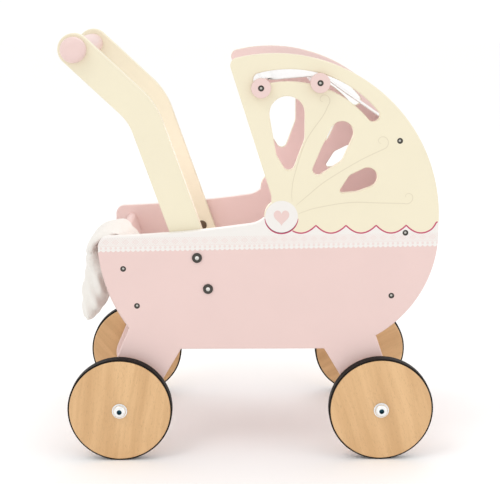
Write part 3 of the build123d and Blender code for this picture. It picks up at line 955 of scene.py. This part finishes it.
class PRAM_OT_make_bedding(bpy.types.Operator):
    """Make the mattress and the pillow, with their corded seams"""
    bl_idname = "pram.make_bedding"
    bl_label = "Make Mattress and Pillow"

    def execute(self, context):
        settings = context.scene.pram_cloth
        white = cotton("mattress_cotton", settings.canopy, settings.pitch, 0.3)
        soft = cotton("pillow_cotton", settings.quilt, settings.pitch, 0.35)
        for name, node, finish, inset, cap, fill in (
                ("mattress_pad", "mattress", white, 2.5 * MM, 4 * MM, 0.8),
                ("pillow_pad", "pillow", soft, 3.0 * MM, 6 * MM, 0.6)):
            low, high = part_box(node)
            outline = inner_outline(node, inset)
            thing = loose(name, pad_shape(name, outline, (high.z - low.z) * 0.9), finish)
            puff(thing, cap, settings.steps, hold=self.between(low, high))
            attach(thing, ROOT)
            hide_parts(node)
            cord = piping(name + "_piping", pad_edge(inner_outline(node, inset - 0.6 * MM)),
                          1.1 * MM, finish)
            cord.parent = thing
        return {"FINISHED"}

    def between(self, low, high):
        """Keeps a point inside a box."""
        def hold(point):
            return Vector([min(max(point[axis], low[axis]), high[axis]) for axis in range(3)])
        return hold


class PRAM_OT_make_duvet(bpy.types.Operator):
    """Make the duvet: on the mattress, up over the rear board, with its end hanging outside"""
    bl_idname = "pram.make_duvet"
    bl_label = "Make Duvet"

    drawn_in = 66 * MM                    # how much of the far edge is drawn in over the board
    # (x, z, thickness) down the duvet in millimetres, from its front edge to its hanging end
    run = ((32.0, 188.8, 6.0), (-20.0, 188.9, 7.6), (-80.0, 188.9, 7.8), (-112.0, 189.6, 7.6),
           (-126.0, 199.0, 7.4), (-134.6, 222.0, 7.0), (-143.0, 246.0, 6.2), (-149.5, 259.0, 5.4),
           (-158.5, 262.6, 5.4), (-168.0, 261.0, 7.0), (-179.0, 258.0, 8.5), (-187.5, 251.5, 10.5),
           (-189.5, 243.0, 10.5), (-189.5, 233.0, 11.5), (-185.0, 219.0, 19.0), (-184.0, 204.0, 26.0),
           (-187.0, 187.0, 26.0), (-191.5, 172.0, 21.0), (-194.5, 162.5, 13.0), (-195.5, 157.0, 7.0))

    def execute(self, context):
        settings = context.scene.pram_cloth
        cloth = cotton("duvet_cotton", settings.quilt, settings.pitch, 0.45)
        thing = loose("duvet_quilt", self.shape(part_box("duvet")[1].y - 2 * MM), cloth)
        puff(thing, 4 * MM, settings.steps, pressure=2.0, voxel=4 * MM)
        self.sew(thing)
        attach(thing, ROOT)
        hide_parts("duvet")
        return {"FINISHED"}

    def shape(self, half):
        """A closed sleeve along the run, thin at its sides."""
        count = 5
        line = smooth_path([(x, z) for x, z, _ in self.run], count)
        thick = smooth_path([(index, t) for index, (_, _, t) in enumerate(self.run)], count)
        columns, mesh, layers = 44, bmesh.new(), []
        for way in (-1, 1):
            grid = []
            for index, point in enumerate(line):
                ahead = line[min(index + 1, len(line) - 1)] - line[max(index - 1, 0)]
                out = Vector((-ahead.y, ahead.x)).normalized()
                end = min(index, len(line) - 1 - index)
                close = min(1.0, (end / 3) ** 0.5)
                row = []
                for column in range(columns + 1):
                    side = 2 * column / columns - 1
                    swell = max(0.0, 1 - abs(side) ** 5) ** 0.5
                    wave = noise.noise(Vector((point.x * 26, side * 3.1, point.y * 26)))
                    rise = way * thick[index].y / 2 * swell * close * (1 + 0.16 * wave)
                    hang = self.hang(point) * noise.noise(Vector((side * 2.6, 7.0, 1.0))) * 4 * MM
                    y = side * half - (side + 1) / 2 * self.gather(point) * self.drawn_in
                    row.append(mesh.verts.new((point.x + out.x * rise - abs(hang) * 0.6,
                                               y, point.y + out.y * rise + hang * 0.5)))
                grid.append(row)
            layers.append(grid)
            for a, b in zip(grid, grid[1:]):
                for j in range(columns):
                    ring = (a[j], a[j + 1], b[j + 1], b[j])
                    mesh.faces.new(ring if way < 0 else ring[::-1])
        bmesh.ops.remove_doubles(mesh, verts=mesh.verts, dist=2e-5)
        bmesh.ops.holes_fill(mesh, edges=[edge for edge in mesh.edges if edge.is_boundary])
        bmesh.ops.recalc_face_normals(mesh, faces=mesh.faces)
        data = bpy.data.meshes.new("duvet_quilt")
        mesh.to_mesh(data)
        mesh.free()
        return data

    def gather(self, point):
        """How far the far edge is drawn in, where the duvet goes over the board, from 0 to 1."""
        if point.x < -150 * MM:
            return 1.0
        return min(1.0, max(0.0, (point.y - 192 * MM) / (55 * MM)))

    def hang(self, point):
        """How much of the free end a point belongs to, from 0 to 1."""
        return min(1.0, max(0.0, (235 * MM - point.y) / (60 * MM))) if point.x < -165 * MM else 0.0

    def sew(self, thing):
        """The step across the flap and the long soft folds that run down it."""
        line_z = 237 * MM
        for vert in thing.data.vertices:
            x, y, z = vert.co
            if x > -160 * MM or z > 262 * MM:
                continue
            step_z = line_z + 2.2 * MM * math.sin(y * 55) + (x + 195 * MM) * 0.35
            fold = math.exp(-((z - step_z) / (2.4 * MM)) ** 2)
            share = min(1.0, max(0.0, (line_z - z) / (16 * MM)))
            slant = (x + 190 * MM) * 0.86 + (z - 200 * MM) * 0.42
            crease = math.sin(slant * 2 * math.pi / (13 * MM) + 1.5 * math.sin(y * 38)) * share
            inward = Vector((-188 * MM - x, 0, 0)).normalized() if abs(x + 188 * MM) > 2 * MM else Vector()
            sideways = Vector((0, -1 if y > 0 else 1, 0))
            edge = min(1.0, max(0.0, (abs(y) - 70 * MM) / (18 * MM)))
            vert.co += inward * (fold * 2.2 * MM + crease * 0.8 * MM)
            vert.co += sideways * edge * (crease * 1.7 * MM + fold * 2.0 * MM)


# ---- stage -------------------------------------------------------------------------------
class PRAM_OT_set_stage(bpy.types.Operator):
    """Set the floor, the lights and the camera"""
    bl_idname = "pram.set_stage"
    bl_label = "Set Stage"

    def execute(self, context):
        settings = context.scene.pram_stage
        floor = Finish("studio_floor", settings.floor, 0.9, specular_ior_level=0.1)
        floor.bump(floor.noise(3), 0.0002, 0.1)
        mesh = bmesh.new()
        bmesh.ops.create_grid(mesh, x_segments=24, y_segments=24, size=14)
        data = bpy.data.meshes.new("studio_floor")
        mesh.to_mesh(data)
        mesh.free()
        ground = loose("studio_floor", data, floor)
        self.world(context.scene)
        self.lamp("key_light", (-1.2, -1.4, 2.6), 1.0, 9)
        self.lamp("fill_light", (1.8, -1.2, 1.3), 1.6, 3)
        self.lamp("back_light", (0.4, 1.7, 2.4), 1.6, 9)
        self.glow("crib_glow", (-0.060, -0.020, 0.335), 0.20)
        self.glow("hood_glow", (0.075, -0.035, 0.350), 0.135)
        camera = bpy.data.cameras.new("camera")
        camera.lens = settings.lens
        camera.sensor_width = 36
        camera.sensor_fit = "HORIZONTAL"
        eye = bpy.data.objects.new("camera", camera)
        eye.location = (-15.4 * MM, -settings.distance, settings.height)
        eye.rotation_euler = (math.pi / 2 - settings.pitch, 0, -settings.turn)
        context.scene.collection.objects.link(eye)
        context.scene.camera = eye
        return {"FINISHED"}

    def world(self, scene):
        """Even white light from all round."""
        world = bpy.data.worlds.new("studio")
        world.use_nodes = True
        background = world.node_tree.nodes["Background"]
        background.inputs["Color"].default_value = (1.0, 0.995, 0.99, 1.0)
        background.inputs["Strength"].default_value = 1.04
        scene.world = world
        scene.view_settings.view_transform = "Standard"

    def lamp(self, name, place, size, power):
        """A square soft box that looks at the pram's middle."""
        lamp = bpy.data.lights.new(name, "AREA")
        lamp.shape = "SQUARE"
        lamp.size = size
        lamp.energy = power
        thing = bpy.data.objects.new(name, lamp)
        thing.location = place
        thing.rotation_euler = (Vector((0, 0, 0.25)) - Vector(place)).to_track_quat("-Z", "Y").to_euler()
        bpy.context.scene.collection.objects.link(thing)

    def glow(self, name, place, power):
        """A small soft lamp inside the body, which the camera doesn't see."""
        lamp = bpy.data.lights.new(name, "POINT")
        lamp.shadow_soft_size = 0.08
        lamp.energy = power
        lamp.color = (1.0, 0.90, 0.95)
        thing = bpy.data.objects.new(name, lamp)
        thing.location = place
        thing.visible_camera = False
        bpy.context.scene.collection.objects.link(thing)


# ---- panel and registration --------------------------------------------------------------
class PRAM_PT_panel(bpy.types.Panel):
    """The pram's operators and settings"""
    bl_idname = "PRAM_PT_panel"
    bl_label = "Doll's Pram"
    bl_space_type = "VIEW_3D"
    bl_region_type = "UI"
    bl_category = "Pram"

    def draw(self, context):
        for operator in OPERATORS:
            self.layout.operator(operator.bl_idname)
        for name in GROUPS:
            box = self.layout.box()
            group = getattr(context.scene, name)
            for key in group.bl_rna.properties.keys():
                if key not in ("rna_type", "name"):
                    box.prop(group, key)


GROUPS = {"pram_paint": PaintSettings, "pram_wood": WoodSettings, "pram_cloth": ClothSettings,
          "pram_stage": StageSettings}
OPERATORS = (PRAM_OT_set_stage, PRAM_OT_paint_boards, PRAM_OT_print, PRAM_OT_finish_wheels,
             PRAM_OT_finish_metal, PRAM_OT_make_canopy, PRAM_OT_make_bedding, PRAM_OT_make_duvet)


def register():
    for one in (*GROUPS.values(), *OPERATORS, PRAM_PT_panel):
        bpy.utils.register_class(one)
    for name, group in GROUPS.items():
        setattr(bpy.types.Scene, name, PointerProperty(type=group))


def unregister():
    for name in GROUPS:
        delattr(bpy.types.Scene, name)
    for one in reversed((*GROUPS.values(), *OPERATORS, PRAM_PT_panel)):
        bpy.utils.unregister_class(one)


def main():
    """Make everything."""
    register()
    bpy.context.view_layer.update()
    for operator in OPERATORS:
        group, name = operator.bl_idname.split(".")
        getattr(getattr(bpy.ops, group), name)()


if __name__ == "__main__":
    main()
